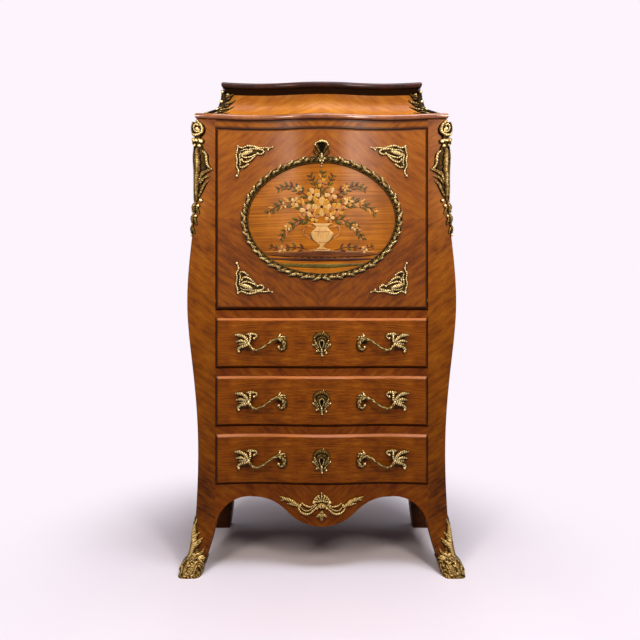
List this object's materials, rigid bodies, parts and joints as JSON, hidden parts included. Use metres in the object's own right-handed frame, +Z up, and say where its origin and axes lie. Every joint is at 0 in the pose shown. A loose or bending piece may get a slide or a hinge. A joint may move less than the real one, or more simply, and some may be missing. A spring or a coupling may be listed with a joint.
{
  "type": "fall-front writing desk",
  "caption": "Fall-front writing desk on cabriole legs with serpentine front, swelling sides, hollow crest, drawers below and cast bronze mounts.",
  "frame": {"origin": "on the floor under the middle of the overall box", "axes": "+Z up, front faces -Y, +X to the viewer's right"},
  "size_m": [0.7994, 0.4301, 1.4],
  "materials": {
    "veneer": "french polished kingwood and walnut veneer",
    "marquetry": "polished marquetry",
    "oak": "plain waxed oak",
    "gilt_bronze": "chased and gilt, slightly toned",
    "brass": "satin",
    "leather": "tooled, worn smooth"
  },
  "bodies": {
    "carcass": {"front_left_post": "veneer", "front_right_post": "veneer", "rear_left_post": "veneer", "rear_right_post": "veneer", "left_side_panel": "veneer", "right_side_panel": "veneer", "back_panel": "oak", "top_board": "veneer", "frieze_rail": "veneer", "sill_rail": "veneer", "drawer_rails": "veneer", "front_apron": "veneer", "bottom_board": "oak", "dust_board": "oak", "desk_floor": "oak", "desk_cheeks": "oak", "pigeonholes": "oak", "drawer_runners": "oak", "crest_coves": "veneer", "crest_board": "veneer", "knee_mounts": "gilt_bronze", "sabots": "gilt_bronze", "crest_mounts": "gilt_bronze", "apron_mount": "gilt_bronze", "pivot_plates": "brass", "stay_pins": "brass"},
    "fall": {"fall_panel": "veneer", "writing_leather": "leather", "marquetry_oval": "marquetry", "oval_frame": "gilt_bronze", "fall_corner_mounts": "gilt_bronze", "fall_escutcheon": "gilt_bronze", "fall_lock": "brass", "pivot_sockets": "brass", "quadrant_stays": "brass"},
    "fall_bolt": {"fall_bolt": "brass"},
    "top_drawer": {"top_drawer_front": "veneer", "top_drawer_sides": "oak", "top_drawer_back": "oak", "top_drawer_bottom": "oak", "top_drawer_handles": "gilt_bronze", "top_drawer_escutcheon": "gilt_bronze", "top_drawer_lock": "brass"},
    "top_drawer_bolt": {"top_drawer_bolt": "brass"},
    "middle_drawer": {"middle_drawer_front": "veneer", "middle_drawer_sides": "oak", "middle_drawer_back": "oak", "middle_drawer_bottom": "oak", "middle_drawer_handles": "gilt_bronze", "middle_drawer_escutcheon": "gilt_bronze", "middle_drawer_lock": "brass"},
    "middle_drawer_bolt": {"middle_drawer_bolt": "brass"},
    "bottom_drawer": {"bottom_drawer_front": "veneer", "bottom_drawer_sides": "oak", "bottom_drawer_back": "oak", "bottom_drawer_bottom": "oak", "bottom_drawer_handles": "gilt_bronze", "bottom_drawer_escutcheon": "gilt_bronze", "bottom_drawer_lock": "brass"},
    "bottom_drawer_bolt": {"bottom_drawer_bolt": "brass"}
  },
  "joints": [
    {"name": "fall_hinge", "type": "hinge", "parent": "carcass", "child": "fall", "pos_m": [0, -0.1587, 0.7635], "axis": [1, 0, 0], "range_deg": [0, 90]},
    {"name": "fall_bolt_slide", "type": "slide", "parent": "fall", "child": "fall_bolt", "axis": [0, 0, 1], "range_m": [0, 0.008]},
    {"name": "top_drawer_slide", "type": "slide", "parent": "carcass", "child": "top_drawer", "axis": [0, -1, 0], "range_m": [0, 0.24]},
    {"name": "top_drawer_bolt_slide", "type": "slide", "parent": "top_drawer", "child": "top_drawer_bolt", "axis": [0, 0, 1], "range_m": [0, 0.008]},
    {"name": "middle_drawer_slide", "type": "slide", "parent": "carcass", "child": "middle_drawer", "axis": [0, -1, 0], "range_m": [0, 0.24]},
    {"name": "middle_drawer_bolt_slide", "type": "slide", "parent": "middle_drawer", "child": "middle_drawer_bolt", "axis": [0, 0, 1], "range_m": [0, 0.008]},
    {"name": "bottom_drawer_slide", "type": "slide", "parent": "carcass", "child": "bottom_drawer", "axis": [0, -1, 0], "range_m": [0, 0.24]},
    {"name": "bottom_drawer_bolt_slide", "type": "slide", "parent": "bottom_drawer", "child": "bottom_drawer_bolt", "axis": [0, 0, 1], "range_m": [0, 0.008]}
  ]
}
